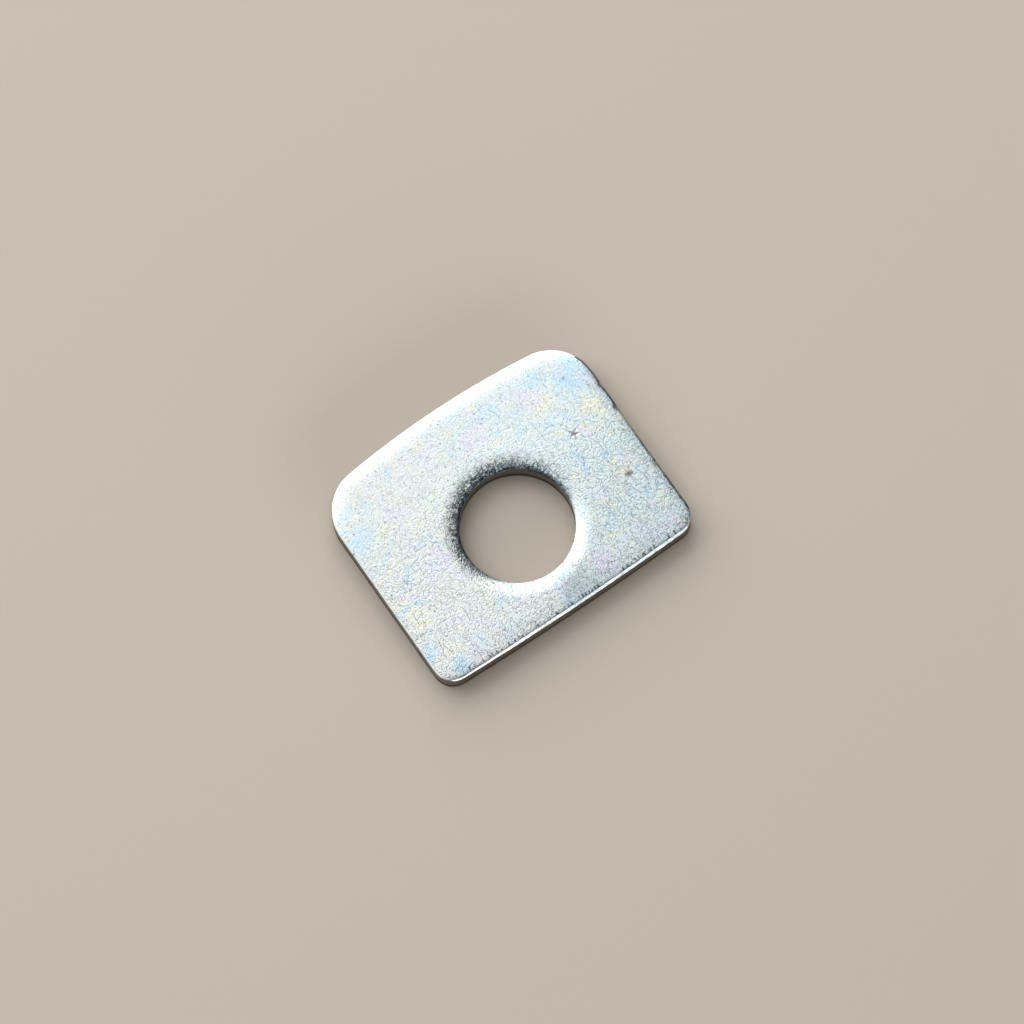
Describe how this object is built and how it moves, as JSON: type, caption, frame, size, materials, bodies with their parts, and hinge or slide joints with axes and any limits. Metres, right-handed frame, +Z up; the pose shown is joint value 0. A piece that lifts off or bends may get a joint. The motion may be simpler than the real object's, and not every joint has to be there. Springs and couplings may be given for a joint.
{
  "type": "plate washer with a curved side",
  "caption": "Flat stamped steel washer, roughly rectangular, with a curved long side, rounded corners, rolled-over top edges and a round bolt hole nearer the straight long side.",
  "frame": {"origin": "centre of the bolt hole, at the underside that the washer lies on", "axes": "+X along the straight long side, +Y from the straight long side towards the curved one, +Z up the hole's axis, out of the face with the rolled-over edges"},
  "size_m": [0.0276, 0.0224, 0.0025],
  "materials": {
    "zinc_plate": "bright zinc plating on stamped mild steel, with a fine crystalline grain and faint blue, yellow and lilac tints"
  },
  "bodies": {
    "root": {"washer": "zinc_plate"}
  },
  "joints": []
}
